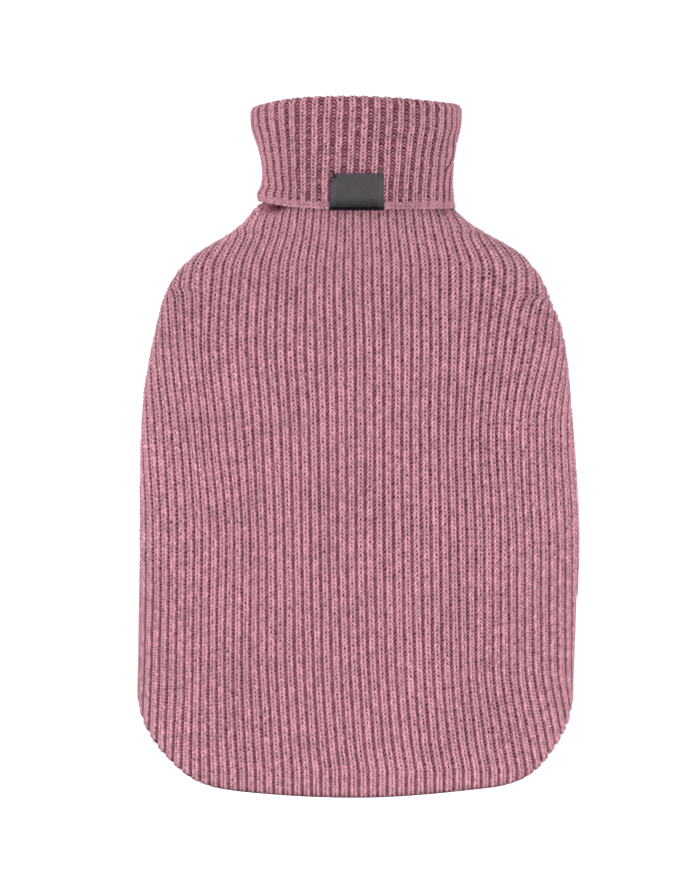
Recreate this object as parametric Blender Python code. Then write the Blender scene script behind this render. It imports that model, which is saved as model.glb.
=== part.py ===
"""Rib-knitted hot water bottle cover with a turned-down collar, lying on its back.

Units are metres. X runs across the cover, Y along it towards the neck, and Z up from the surface that
it lies on. The origin is under the middle of the cover, on that surface. The cover keeps the shape that
a bottle gives it, and the bottle itself is left out, so the cloth is a hollow pouch with an open neck.

Two panels of one cloth are linked along their edges. Each is knitted in one piece: body, neck and, past
the fold at the top, the collar that is turned down over the neck. A woven tab is folded over the hem.
"""

import bmesh
import bpy
import numpy as np

CLOTH = 0.0028  # thickness of the rib knit
LAYER_GAP = 0.0020  # between the neck and the collar turned down over it
TURNED = CLOTH + LAYER_GAP  # from one face of the neck to the same face of the collar
SEAM_GAP = 0.0003  # between the two panels where they are linked
EDGE_ROUND = 0.020  # how far in from the bottom edge the cloth reaches its full height
BACK_PRESS = 1.07  # the back would be this much deeper if the surface didn't press it flat

COLUMNS = 28  # facets across a panel
EDGE_ROWS = 5  # facets up the rounded bottom edge
FOLD_ROWS = 6  # facets round the fold at the top of the collar
COLLAR_ROWS = 6  # facets down the turned collar
NECK_ROWS = 3  # facets from the shoulders to the fold

# Above the first height, the rows of facets run straight across.
BODY_LINES = (-0.095, -0.070, -0.045, -0.015, 0.015, 0.040, 0.058, 0.070, 0.080, 0.0885)
SHOULDER_LINES = (0.0955, 0.1020, 0.1075, 0.1110, 0.1132, 0.1150, 0.1167, 0.1190)

# Outline of the collar's outer face, from the hem up: height, reach to the left and to the right.
COLLAR_OUTLINE = (
    (0.1125, 0.0466, 0.0460),
    (0.1205, 0.0480, 0.0455),
    (0.1250, 0.0468, 0.0454),
    (0.1315, 0.0457, 0.0454),
    (0.1370, 0.0463, 0.0458),
    (0.1425, 0.0478, 0.0467),
    (0.1540, 0.0512, 0.0491),
    (0.1600, 0.0513, 0.0496),
)

# Outline of the body's outer face, from the bottom corners to the foot of the neck.
BODY_OUTLINE = (
    (-0.1675, 0.1050, 0.1028),
    (-0.1210, 0.1050, 0.1028),
    (-0.0800, 0.1048, 0.1042),
    (-0.0450, 0.1043, 0.1057),
    (-0.0100, 0.1043, 0.1045),
    (0.0220, 0.1029, 0.1020),
    (0.0400, 0.1003, 0.1004),
    (0.0570, 0.0966, 0.0975),
    (0.0690, 0.0933, 0.0935),
    (0.0800, 0.0887, 0.0885),
    (0.0900, 0.0804, 0.0805),
    (0.0955, 0.0727, 0.0733),
    (0.1015, 0.0625, 0.0625),
    (0.1075, 0.0546, 0.0527),
    (0.1110, 0.0514, 0.0485),
    (0.1132, 0.0498, 0.0442),
    (0.1150, 0.0470, 0.0421),
    (0.1167, 0.0439, 0.0414),
    (0.1190, 0.0432, 0.0409),
)

# Bottom edge, from the left corner to the right one: across, height.
BOTTOM_EDGE = (
    (-0.1050, -0.1210),
    (-0.1017, -0.1322),
    (-0.0945, -0.1437),
    (-0.0835, -0.1551),
    (-0.0730, -0.1612),
    (-0.0580, -0.1643),
    (-0.0290, -0.1667),
    (0.0000, -0.1675),
    (0.0250, -0.1665),
    (0.0500, -0.1642),
    (0.0710, -0.1613),
    (0.0835, -0.1551),
    (0.0931, -0.1437),
    (0.0995, -0.1322),
    (0.1028, -0.1210),
)

# How thick the cover stands: height, the linked edge, the front's crown, the back, and the squareness
# of the section, where 2 is an ellipse. From the shoulders up it is the neck that this gives.
DEPTH = (
    (-0.1675, 0.0190, 0.0385, 0.0000, 2.6),
    (-0.1000, 0.0195, 0.0410, 0.0000, 2.6),
    (-0.0200, 0.0200, 0.0420, 0.0000, 2.6),
    (0.0500, 0.0205, 0.0412, 0.0000, 2.5),
    (0.0800, 0.0211, 0.0398, 0.0000, 2.4),
    (0.0950, 0.0216, 0.0388, 0.0022, 2.3),
    (0.1100, 0.0220, 0.0385, TURNED, 2.2),
    (0.1250, 0.0220, 0.0385, TURNED, 2.2),
    (0.1400, 0.0220, 0.0392, TURNED, 2.2),
    (0.1675, 0.0220, 0.0392, TURNED, 2.2),
)

COLLAR_TOP = 0.1675  # the fold's highest point
TOP_DROP = ((0.0045, 4), (0.0038, 2))  # of the fold's left and right ends: how far, and by what power
HEM_LOW = 0.1132  # the collar's hem at the middle of the front
HEM_RISE = ((0.0055, 5), (0.0018, 4))  # of the hem's left and right ends
HEM_LIFT, LIFT_AT, LIFT_WIDE, LIFT_TALL = 0.0018, -0.80, 0.24, 0.012  # the front hem's stand-off, left

LABEL_X, LABEL_TOP = -0.0004, 0.1303  # its middle, and its upper edge
LABEL_WIDE, LABEL_TAPER = 0.0252, 0.0016  # its width at the hem, and how much less it is at the top
LABEL_THICK, LABEL_GAP = 0.0006, 0.0004
LABEL_COLUMNS, LABEL_ROWS, LABEL_BEND_ROWS = 8, 5, 4

PINK = (0.58, 0.25, 0.33, 1.0)
CHARCOAL = (0.030, 0.031, 0.034, 1.0)


def eased(table, column, at):
    """A column of a table at the heights asked for, on a smooth curve that doesn't overshoot its rows."""
    table = np.array(table)
    heights, values = table[:, 0], table[:, column]
    steps = np.diff(values) / np.diff(heights)
    below, above = steps[:-1], steps[1:]
    agree = below * above > 0
    slopes = np.where(agree, 2 * below * above / np.where(agree, below + above, 1), 0)
    slopes = np.concatenate([steps[:1], slopes, steps[-1:]])
    at = np.clip(at, heights[0], heights[-1])
    i = np.clip(np.searchsorted(heights, at) - 1, 0, len(heights) - 2)
    span = heights[i + 1] - heights[i]
    t = (at - heights[i]) / span
    return (
        values[i] * (1 + 2 * t) * (1 - t) ** 2
        + values[i + 1] * t * t * (3 - 2 * t)
        + span * (slopes[i] * t * (1 - t) ** 2 - slopes[i + 1] * t * t * (1 - t))
    )


def smooth_line(points, steps=24):
    """A smooth line through points, with the given number of steps between each two."""
    points = np.array(points)
    ends = np.vstack([2 * points[0] - points[1], points, 2 * points[-1] - points[-2]])
    t = np.linspace(0, 1, steps, endpoint=False)[:, None]
    runs = [
        p1
        + 0.5 * t * (p2 - p0)
        + 0.5 * t**2 * (2 * p0 - 5 * p1 + 4 * p2 - p3)
        + 0.5 * t**3 * (3 * p1 - p0 - 3 * p2 + p3)
        for p0, p1, p2, p3 in zip(ends, ends[1:], ends[2:], ends[3:])
    ]
    return np.vstack([*runs, points[-1:]])


BOTTOM_LINE = smooth_line(BOTTOM_EDGE)
UNDER_COLLAR = tuple((height, left - TURNED, right - TURNED) for height, left, right in COLLAR_OUTLINE)
NECK_FOOT = BODY_OUTLINE[-1][0]
PANEL_OUTLINE = BODY_OUTLINE + tuple(row for row in UNDER_COLLAR if row[0] > NECK_FOOT)


def across_columns():
    """The columns of facets, from -1 at the left edge to 1 at the right, closer where the cloth turns."""
    turn = -np.cos(np.linspace(0, np.pi, COLUMNS + 1))
    squareness = 2.4
    return np.sign(turn) * np.abs(turn) ** (2 / squareness)


def bottom_at(s):
    """Height of the bottom edge under each column."""
    left, right = PANEL_OUTLINE[0][1:]
    return np.interp(np.where(s < 0, s * left, s * right), BOTTOM_LINE[:, 0], BOTTOM_LINE[:, 1])


def on_cloth(outline, s, height, outward, side):
    """Points moved outward from an outline's outer face. side is 1 for the front panel, -1 for the back."""
    reach = np.where(s < 0, eased(outline, 1, height), eased(outline, 2, height)) + outward
    seam, crown, back, squareness = (eased(DEPTH, column, height) for column in (1, 2, 3, 4))
    inset = np.clip((height - bottom_at(s) + outward) / (EDGE_ROUND + outward), 0, 1)
    dome = (1 - np.abs(s) ** squareness).clip(0) ** (1 / squareness) * np.sqrt(1 - (1 - inset) ** 2)
    if side > 0:
        z = seam + SEAM_GAP / 2 + (crown - seam + outward) * dome
    else:
        pressed = BACK_PRESS * (seam - back) + outward
        z = np.maximum(seam - SEAM_GAP / 2 - pressed * dome, back - outward)
    return np.column_stack([s * reach, height, z])


def on_collar(s, height, outward, side):
    """Points of the turned-down collar. outward is measured from the neck's outer face, under it."""
    points = on_cloth(UNDER_COLLAR, s, height, outward, side)
    if side > 0:
        low = np.clip((HEM_LOW + LIFT_TALL - height) / LIFT_TALL, 0, 1)
        points[:, 2] += HEM_LIFT * np.exp(-(((s - LIFT_AT) / LIFT_WIDE) ** 2)) * low**2 * (1 - s**8)
    return points


def drawn(s, ends):
    """How far a line is drawn from its middle, from the (distance, power) of its left and right ends."""
    (left, left_power), (right, right_power) = ends
    return np.where(s < 0, left * np.abs(s) ** left_power, right * np.abs(s) ** right_power)


def panel_rows(side):
    """Rows of points over the panel's two faces: its outer face on the body, and the inner one."""
    s = across_columns()
    bottom = bottom_at(s)
    fold_line = COLLAR_TOP - LAYER_GAP / 2 - CLOTH - drawn(s, TOP_DROP)
    hem_line = HEM_LOW + drawn(s, HEM_RISE)
    outer, inner = [], []

    def add_body(heights, outward=(0, -CLOTH)):
        for rows, height, out in zip((outer, inner), heights, outward):
            rows.append(on_cloth(PANEL_OUTLINE, s, height, out, side))

    def add_collar(heights, outward):
        for rows, height, out in zip((outer, inner), heights, outward):
            rows.append(on_collar(s, height, out, side))

    for turn in np.linspace(0, np.pi / 2, EDGE_ROWS + 1):
        up = 1 - np.cos(turn)
        add_body((bottom + EDGE_ROUND * up, bottom + CLOTH + (EDGE_ROUND - CLOTH) * up))
    add_body([(bottom + EDGE_ROUND + BODY_LINES[0]) / 2] * 2)
    for line in BODY_LINES + SHOULDER_LINES:
        add_body([np.full_like(s, line)] * 2)
    for share in np.linspace(0, 1, NECK_ROWS + 1)[1:-1]:
        add_body([SHOULDER_LINES[-1] * (1 - share) + fold_line * share] * 2)
    for turn in np.linspace(0, np.pi, FOLD_ROWS + 1):
        radii = np.array([LAYER_GAP / 2, LAYER_GAP / 2 + CLOTH])
        heights = [fold_line + radius * np.sin(turn) for radius in radii]
        add_collar(heights, LAYER_GAP / 2 - radii * np.cos(turn))
    for share in np.linspace(0, 1, COLLAR_ROWS + 1)[1:]:
        add_collar([fold_line * (1 - share) + hem_line * share] * 2, (LAYER_GAP, TURNED))
    return outer, inner


def label_rows():
    """Rows of points over the tab's two faces, up behind the hem, round it, and down the collar's front."""
    u = np.linspace(-1, 1, LABEL_COLUMNS + 1)
    left, right = COLLAR_OUTLINE[0][1:]
    hem = HEM_LOW - LABEL_GAP
    behind, before = LAYER_GAP - LABEL_GAP, TURNED + LABEL_GAP
    middle, radius = (behind + before) / 2, (before - behind) / 2
    outer, inner = [], []

    def add(height, near, far):
        shrink = LABEL_TAPER * (height - hem) / (LABEL_TOP - hem)
        for rows, (up, outward) in ((outer, far), (inner, near)):
            x = LABEL_X + u * (LABEL_WIDE - max(shrink, 0)) / 2
            s = x / np.where(x < 0, left, right)
            points = on_collar(s, np.full_like(s, up), outward, 1)
            points[:, 0] = x
            rows.append(points)

    for height in np.linspace(LABEL_TOP, hem, LABEL_ROWS + 1)[:-1]:
        add(height, (height, before), (height, before + LABEL_THICK))
    squeeze = 0.45  # the loop under the hem is flatter than a half circle
    for turn in np.linspace(0, np.pi, LABEL_BEND_ROWS + 1):
        down, out = squeeze * np.sin(turn), np.cos(turn)
        wide = radius + LABEL_THICK
        add(
            hem,
            (hem - radius * down, middle + radius * out),
            (hem - wide * down, middle + wide * out),
        )
    for height in np.linspace(hem, LABEL_TOP, LABEL_ROWS + 1)[1:]:
        add(height, (height, behind), (height, behind - LABEL_THICK))
    return outer, inner


def sheet_solid(name, rows, material):
    """One closed solid between two faces, each given as rows of points."""
    mesh = bmesh.new()
    faces = [[[mesh.verts.new(p) for p in row] for row in face] for face in rows]
    near, far = faces
    lines, columns = len(near) - 1, len(near[0]) - 1
    for j in range(lines):
        for i in range(columns):
            mesh.faces.new((near[j][i], near[j][i + 1], near[j + 1][i + 1], near[j + 1][i]))
            mesh.faces.new((far[j][i], far[j + 1][i], far[j + 1][i + 1], far[j][i + 1]))
    for j in range(lines):
        for i in (0, columns):
            mesh.faces.new((near[j][i], near[j + 1][i], far[j + 1][i], far[j][i]))
    for i in range(columns):
        for j in (0, lines):
            mesh.faces.new((near[j][i], near[j][i + 1], far[j][i + 1], far[j][i]))
    bmesh.ops.recalc_face_normals(mesh, faces=mesh.faces)
    bmesh.ops.triangulate(mesh, faces=mesh.faces)
    data = bpy.data.meshes.new(name)
    mesh.to_mesh(data)
    mesh.free()
    data.shade_smooth()
    data.materials.append(material)
    obj = bpy.data.objects.new(name, data)
    bpy.context.scene.collection.objects.link(obj)
    return obj


def plain_material(name, colour, roughness):
    material = bpy.data.materials.new(name)
    material.use_nodes = True
    shader = material.node_tree.nodes["Principled BSDF"]
    shader.inputs["Base Color"].default_value = colour
    shader.inputs["Roughness"].default_value = roughness
    shader.inputs["Metallic"].default_value = 0.0
    return material


def clear_scene():
    for obj in list(bpy.data.objects):
        bpy.data.objects.remove(obj)


def main():
    clear_scene()
    yarn = plain_material("pink_rib_knit", PINK, 0.9)
    sheet_solid("front_panel", panel_rows(1), yarn)
    sheet_solid("back_panel", panel_rows(-1), yarn)
    sheet_solid("woven_label", label_rows(), plain_material("charcoal_woven_tape", CHARCOAL, 0.6))


main()
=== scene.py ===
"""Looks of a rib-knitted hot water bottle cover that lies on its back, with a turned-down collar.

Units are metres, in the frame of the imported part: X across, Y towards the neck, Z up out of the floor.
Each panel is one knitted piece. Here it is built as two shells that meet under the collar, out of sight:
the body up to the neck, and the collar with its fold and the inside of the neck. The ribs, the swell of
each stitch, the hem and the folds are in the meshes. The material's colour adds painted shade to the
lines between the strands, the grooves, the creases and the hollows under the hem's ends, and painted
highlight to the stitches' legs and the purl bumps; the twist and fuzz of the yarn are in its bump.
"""

from collections import namedtuple

import bmesh
import bpy
import numpy as np
from bpy.props import FloatProperty, FloatVectorProperty, PointerProperty
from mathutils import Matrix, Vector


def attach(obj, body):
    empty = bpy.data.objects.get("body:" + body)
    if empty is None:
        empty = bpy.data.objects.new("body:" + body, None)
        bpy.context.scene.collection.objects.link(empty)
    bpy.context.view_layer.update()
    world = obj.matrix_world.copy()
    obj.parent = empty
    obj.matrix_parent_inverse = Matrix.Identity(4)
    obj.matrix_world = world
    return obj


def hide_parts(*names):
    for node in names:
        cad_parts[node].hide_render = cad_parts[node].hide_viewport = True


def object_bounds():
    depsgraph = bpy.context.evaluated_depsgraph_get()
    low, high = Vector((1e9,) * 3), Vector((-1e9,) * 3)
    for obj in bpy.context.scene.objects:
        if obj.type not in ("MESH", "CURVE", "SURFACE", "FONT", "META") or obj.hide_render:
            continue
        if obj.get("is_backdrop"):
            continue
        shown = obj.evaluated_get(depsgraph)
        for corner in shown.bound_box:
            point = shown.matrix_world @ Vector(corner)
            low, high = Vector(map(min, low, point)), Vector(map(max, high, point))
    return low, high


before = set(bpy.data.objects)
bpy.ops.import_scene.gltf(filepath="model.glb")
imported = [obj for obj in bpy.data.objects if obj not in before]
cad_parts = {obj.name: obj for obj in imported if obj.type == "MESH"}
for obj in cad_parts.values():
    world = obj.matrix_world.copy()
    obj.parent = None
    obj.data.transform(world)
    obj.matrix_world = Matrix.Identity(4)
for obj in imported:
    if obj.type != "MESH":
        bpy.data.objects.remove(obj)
cad_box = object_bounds()

bl_info = {
    "name": "Rib-knitted bottle cover",
    "version": (1, 0, 0),
    "blender": (4, 5, 0),
    "location": "3D View > Sidebar > Bottle cover",
    "description": "Builds the knitted panels, the turned-down collar and the woven label of a bottle cover",
    "category": "Add Mesh",
}

MM = 0.001
FRONT, BACK = 1, -1  # the panels' sides

# The cloth's shape, as the CAD part has it.
CLOTH = 0.0028  # thickness of the rib knit
LAYER_GAP = 0.0020  # between the neck and the collar turned down over it
TURNED = CLOTH + LAYER_GAP  # from one face of the neck to the same face of the collar
SEAM_GAP = 0.0001  # between the two panels where they are linked
EDGE_ROUND = 0.020  # how far in from the bottom edge the cloth reaches its full height
BACK_PRESS = 1.07  # the back would be this much deeper if the floor didn't press it flat

# Outline of the collar's outer face, from the hem up: height, reach to the left and to the right.
COLLAR_OUTLINE = (
    (0.1125, 0.0474, 0.0476),
    (0.1165, 0.0481, 0.0462),
    (0.1185, 0.0482, 0.0459),
    (0.1208, 0.0485, 0.0458),
    (0.1250, 0.0466, 0.0458),
    (0.1290, 0.0459, 0.0457),
    (0.1330, 0.0460, 0.0458),
    (0.1370, 0.0466, 0.0462),
    (0.1425, 0.0479, 0.0470),
    (0.1540, 0.0514, 0.0494),
    (0.1600, 0.0515, 0.0498),
)

# Outline of the body's outer face, from the bottom corners to the foot of the neck.
BODY_OUTLINE = (
    (-0.1675, 0.1054, 0.1030),
    (-0.1210, 0.1054, 0.1030),
    (-0.0800, 0.1048, 0.1047),
    (-0.0450, 0.1043, 0.1060),
    (-0.0100, 0.1043, 0.1045),
    (0.0220, 0.1029, 0.1020),
    (0.0400, 0.1003, 0.1004),
    (0.0570, 0.0966, 0.0975),
    (0.0690, 0.0937, 0.0928),
    (0.0800, 0.0889, 0.0882),
    (0.0900, 0.0804, 0.0805),
    (0.0955, 0.0727, 0.0733),
    (0.1015, 0.0625, 0.0625),
    (0.1070, 0.0554, 0.0534),
    (0.1103, 0.0524, 0.0489),
    (0.1122, 0.0512, 0.0472),
    (0.1136, 0.0501, 0.0467),
    (0.1150, 0.0493, 0.0450),
    (0.1167, 0.0484, 0.0425),
    (0.1190, 0.0452, 0.0409),
)

# Bottom edge, from the left corner to the right one: across, height.
BOTTOM_EDGE = (
    (-0.1054, -0.1210),
    (-0.1023, -0.1322),
    (-0.0953, -0.1437),
    (-0.0840, -0.1551),
    (-0.0730, -0.1612),
    (-0.0580, -0.1643),
    (-0.0290, -0.1667),
    (0.0000, -0.1675),
    (0.0250, -0.1665),
    (0.0500, -0.1642),
    (0.0710, -0.1613),
    (0.0842, -0.1551),
    (0.0941, -0.1437),
    (0.1004, -0.1322),
    (0.1030, -0.1210),
)

# How thick the cover stands: height, the linked edge, the front's crown, the back, and the squareness
# of the section, where 2 is an ellipse. From the shoulders up it is the neck that this gives.
DEPTH = (
    (-0.1675, 0.0190, 0.0385, 0.0000, 2.6),
    (-0.1000, 0.0195, 0.0410, 0.0000, 2.6),
    (-0.0200, 0.0200, 0.0420, 0.0000, 2.6),
    (0.0500, 0.0205, 0.0412, 0.0000, 2.5),
    (0.0800, 0.0211, 0.0398, 0.0000, 2.4),
    (0.0950, 0.0216, 0.0388, 0.0022, 2.3),
    (0.1100, 0.0220, 0.0385, TURNED, 2.2),
    (0.1250, 0.0220, 0.0385, TURNED, 2.2),
    (0.1400, 0.0220, 0.0392, TURNED, 2.2),
    (0.1675, 0.0220, 0.0392, TURNED, 2.2),
)

COLLAR_TOP = 0.1675  # the fold's highest point
FOLD_HEIGHT = COLLAR_TOP - LAYER_GAP / 2 - CLOTH  # where the collar's face starts to turn over
TOP_DROP = ((0.0046, 3.3), (0.0036, 1.55))  # of the fold's left and right ends: how far, and by what power
HEM_LOW = 0.1132  # the collar's hem at the middle of the front
HEM_RISE = ((0.0042, 3.2), (0.0008, 4))  # of the hem's left and right ends
HEM_LIFT, LIFT_AT, LIFT_WIDE, LIFT_TALL = 0.0032, -0.80, 0.22, 0.012  # the front hem's stand-off, left

# Where the neck caves in under the hem's ends: how deep, how dark the painted shadow of the hem is there,
# then across (as a share of the neck's width) and height, each with the hollow's size.
HOLLOWS = ((0.0036, 1.15, -0.82, 0.11, 0.1148, 0.0030), (0.0010, 0.45, 0.87, 0.10, 0.1126, 0.0022))

LABEL_X, LABEL_TOP = -0.0006, 0.1301  # its middle, and its upper edge
LABEL_WIDE, LABEL_TAPER = 0.0262, 0.0018  # its width at the hem, and how much less it is at the top
LABEL_LEAN, LABEL_ARCH = 0.0007, 0.0004  # how far its top stands to the right, and how far its corners drop
HEM_TUCK = 0.0009  # how far the label draws the hem up under it
LABEL_THICK, LABEL_GAP = 0.0006, 0.0004  # the tape's thickness, and its gap to the knit

# Where the body's grooves run: which grooves, counted in ribs from the middle, and then the height and how
# far across each of them lies there.
BODY_KNOTS = (-20, -15, -10, 0, 10, 15, 20)
BODY_RIBS = (
    (-0.1540, -0.0850, -0.0620, -0.0405, 0.0050, 0.0505, 0.0720, 0.0930),
    (-0.1400, -0.0845, -0.0630, -0.0415, 0.0030, 0.0480, 0.0695, 0.0905),
    (-0.1015, -0.0830, -0.0640, -0.0435, 0.0005, 0.0450, 0.0645, 0.0840),
    (-0.0445, -0.0825, -0.0630, -0.0440, -0.0010, 0.0440, 0.0645, 0.0835),
    (0.0080, -0.0855, -0.0675, -0.0460, -0.0010, 0.0430, 0.0625, 0.0815),
    (0.0510, -0.0900, -0.0715, -0.0490, -0.0015, 0.0440, 0.0665, 0.0890),
    (0.0845, -0.0915, -0.0695, -0.0470, -0.0025, 0.0440, 0.0705, 0.0930),
    (0.1035, -0.0790, -0.0600, -0.0415, -0.0025, 0.0405, 0.0600, 0.0790),
    (0.1200, -0.0660, -0.0530, -0.0385, -0.0025, 0.0370, 0.0520, 0.0650),
)
BODY_HALF = 29  # ribs on each side of the middle, more than the widest place takes
BODY_END_PITCH = 0.0042  # of the ribs that turn down the sides
ROW = 0.0020  # from one row of the body's stitches to the next
BODY_TOP = 0.1203  # where the body's shell ends, under the collar
BODY_FINE = 2  # rows of the grid in a stitch

# The same for the collar. Low on its right, grooves 9 and 10 run into each other, and the rib between them
# is lost in a crease.
COLLAR_KNOTS = (-8, -5, -3, 0, 3, 5, 8, 9, 10, 11)
COLLAR_RIBS = (
    (0.1200, -0.0400, -0.0288, -0.0189, -0.0013, 0.0157, 0.0251, 0.0381, 0.0412, 0.0416, 0.0437),
    (0.1255, -0.0399, -0.0289, -0.0189, -0.0011, 0.0160, 0.0255, 0.0383, 0.0413, 0.0416, 0.0440),
    (0.1320, -0.0403, -0.0290, -0.0187, -0.0008, 0.0166, 0.0260, 0.0389, 0.0418, 0.0421, 0.0447),
    (0.1350, -0.0406, -0.0290, -0.0186, -0.0006, 0.0168, 0.0263, 0.0392, 0.0419, 0.0436, 0.0455),
    (0.1380, -0.0410, -0.0290, -0.0184, -0.0005, 0.0169, 0.0266, 0.0394, 0.0423, 0.0449, 0.0463),
    (0.1410, -0.0415, -0.0291, -0.0183, -0.0004, 0.0170, 0.0270, 0.0398, 0.0427, 0.0459, 0.0471),
    (0.1485, -0.0427, -0.0293, -0.0182, 0.0000, 0.0174, 0.0280, 0.0414, 0.0438, 0.0465, 0.0480),
    (0.1550, -0.0437, -0.0293, -0.0182, 0.0003, 0.0180, 0.0289, 0.0424, 0.0453, 0.0476, 0.0489),
    (0.1605, -0.0441, -0.0293, -0.0177, 0.0005, 0.0181, 0.0288, 0.0424, 0.0454, 0.0476, 0.0490),
)
COLLAR_HALF = 14
COLLAR_END_PITCH = 0.0050
FACE_STITCHES, FOLD_STITCHES, NECK_STITCHES = 30, 5, 25  # down the collar, round the fold, down the neck
FACE_LENGTH = FOLD_HEIGHT - HEM_LOW
COLLAR_FINE = {"front": 5, "back": 3}  # rows of the grid in a stitch
NECK_END = 0.1206  # how far down the neck's inside the collar's shell goes

BODY_SEED, COLLAR_SEED = 11, 23


# ---------------------------------------------------------------- the cloth's shape


def eased(table, column, at):
    """A column of a table at the heights asked for, on a smooth curve that doesn't overshoot its rows."""
    table = np.array(table)
    heights, values = table[:, 0], table[:, column]
    steps = np.diff(values) / np.diff(heights)
    below, above = steps[:-1], steps[1:]
    agree = below * above > 0
    slopes = np.where(agree, 2 * below * above / np.where(agree, below + above, 1), 0)
    slopes = np.concatenate([steps[:1], slopes, steps[-1:]])
    at = np.clip(at, heights[0], heights[-1])
    i = np.clip(np.searchsorted(heights, at) - 1, 0, len(heights) - 2)
    span = heights[i + 1] - heights[i]
    t = (at - heights[i]) / span
    return (
        values[i] * (1 + 2 * t) * (1 - t) ** 2
        + values[i + 1] * t * t * (3 - 2 * t)
        + span * (slopes[i] * t * (1 - t) ** 2 - slopes[i + 1] * t * t * (1 - t))
    )


def smooth_line(points, steps=24):
    """A smooth line through points, with the given number of steps between each two."""
    points = np.array(points)
    ends = np.vstack([2 * points[0] - points[1], points, 2 * points[-1] - points[-2]])
    t = np.linspace(0, 1, steps, endpoint=False)[:, None]
    runs = [
        p1
        + 0.5 * t * (p2 - p0)
        + 0.5 * t**2 * (2 * p0 - 5 * p1 + 4 * p2 - p3)
        + 0.5 * t**3 * (3 * p1 - p0 - 3 * p2 + p3)
        for p0, p1, p2, p3 in zip(ends, ends[1:], ends[2:], ends[3:])
    ]
    return np.vstack([*runs, points[-1:]])


BOTTOM_LINE = smooth_line(BOTTOM_EDGE)
UNDER_COLLAR = tuple((height, left - TURNED, right - TURNED) for height, left, right in COLLAR_OUTLINE)
NECK_FOOT = BODY_OUTLINE[-1][0]
PANEL_OUTLINE = BODY_OUTLINE + tuple(row for row in UNDER_COLLAR if row[0] > NECK_FOOT)


def bottom_at(s):
    """Height of the bottom edge, where s runs from -1 at the left side to 1 at the right."""
    left, right = PANEL_OUTLINE[0][1:]
    return np.interp(np.where(s < 0, s * left, s * right), BOTTOM_LINE[:, 0], BOTTOM_LINE[:, 1])


def reach_at(outline, s, height):
    """How far the outline reaches on the side that s is on."""
    return np.where(s < 0, eased(outline, 1, height), eased(outline, 2, height))


def on_cloth(outline, s, height, outward, side):
    """Points moved outward from an outline's outer face, on the front or the back panel."""
    reach = reach_at(outline, s, height) + outward
    seam, crown, back, squareness = (eased(DEPTH, column, height) for column in (1, 2, 3, 4))
    inset = np.clip((height - bottom_at(s) + outward) / (EDGE_ROUND + outward), 0, 1)
    dome = (1 - np.abs(s) ** squareness).clip(0) ** (1 / squareness) * np.sqrt(1 - (1 - inset) ** 2)
    if side == FRONT:
        z = seam + SEAM_GAP / 2 + (crown - seam + outward) * dome
    else:  # the back, which the floor presses flat
        pressed = BACK_PRESS * (seam - back) + outward
        z = np.maximum(seam - SEAM_GAP / 2 - pressed * dome, back - outward)
    return np.stack([s * reach, height + 0 * z, z], axis=-1)


def on_collar(s, height, outward, side):
    """Points of the turned-down collar. outward is measured from the neck's outer face, under it."""
    points = on_cloth(UNDER_COLLAR, s, height, outward, side)
    if side == FRONT:
        low = np.clip((HEM_LOW + LIFT_TALL - height) / LIFT_TALL, 0, 1)
        points[..., 2] += HEM_LIFT * np.exp(-(((s - LIFT_AT) / LIFT_WIDE) ** 2)) * low**2 * (1 - s**8)
    return points


def drawn(s, ends):
    """How far a line is drawn from its middle, from the (distance, power) of its left and right ends."""
    (left, left_power), (right, right_power) = ends
    return np.where(s < 0, left * np.abs(s) ** left_power, right * np.abs(s) ** right_power)


def section_arc(reach, rise, squareness, samples=160):
    """Across one half of a section: places from the middle to the seam, and the cloth's length to each."""
    turn = np.linspace(0, np.pi / 2, samples)
    x = reach * np.sin(turn) ** (2 / squareness)
    z = rise * np.cos(turn) ** (2 / squareness)
    length = np.concatenate([[0], np.cumsum(np.hypot(np.diff(x), np.diff(z)))])
    order = np.argsort(x)
    return x[order], length[order]


def rib_places(ribs, knots, lines, end_pitch, height, reaches, rise, squareness):
    """How far across each rib coordinate lies at one height, and its distance from the seam on the cloth."""
    wide = 0.05  # ribs past the seam go on outward, so that they can be cut off there
    (left_x, left_arc), (right_x, right_arc) = (section_arc(r, rise, squareness) for r in reaches)
    x = np.concatenate([[-left_x[-1] - wide], -left_x[:0:-1], right_x, [right_x[-1] + wide]])
    arc = np.concatenate([[-left_arc[-1] - wide], -left_arc[:0:-1], right_arc, [right_arc[-1] + wide]])
    at = [eased(lines, column + 1, np.array([height]))[0] for column in range(len(knots))]
    knot_arcs = np.interp(at, x, arc)
    far = 20
    stops = np.concatenate([[knots[0] - far], knots, [knots[-1] + far]])
    arcs = np.concatenate([[knot_arcs[0] - far * end_pitch], knot_arcs, [knot_arcs[-1] + far * end_pitch]])
    found = np.interp(ribs, stops, arcs)
    from_seam = np.where(found < 0, left_arc[-1] + found, right_arc[-1] - found)
    return np.interp(found, arc, x), from_seam


def wander(shape, steps, random):
    """Smooth unevenness between about -1 and 1 over a grid, with one random value every so many places."""
    coarse = random.uniform(-1, 1, [int(np.ceil(n / step)) + 2 for n, step in zip(shape, steps)])
    for axis, (n, step) in enumerate(zip(shape, steps)):
        place = np.arange(n) / step
        i = place.astype(int)
        t = place - i
        t = t * t * (3 - 2 * t)
        t = t.reshape([-1 if a == axis else 1 for a in range(coarse.ndim)])
        coarse = np.take(coarse, i, axis) * (1 - t) + np.take(coarse, i + 1, axis) * t
    return coarse


def smooth_step(value, low, high):
    """A smooth climb from 0 at low to 1 at high."""
    t = np.clip((value - low) / (high - low), 0, 1)
    return t * t * (3 - 2 * t)


def from_least(least, share):
    """A share that runs from least to 1 instead of from 0 to 1."""
    return least + (1 - least) * share


# ---------------------------------------------------------------- meshes from grids of points

AT_SEAM = 0.9995  # the share of the reach past which a corner counts as past the seam
GRAIN = 1e8  # corners are one where they agree to this fraction of a metre


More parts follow.
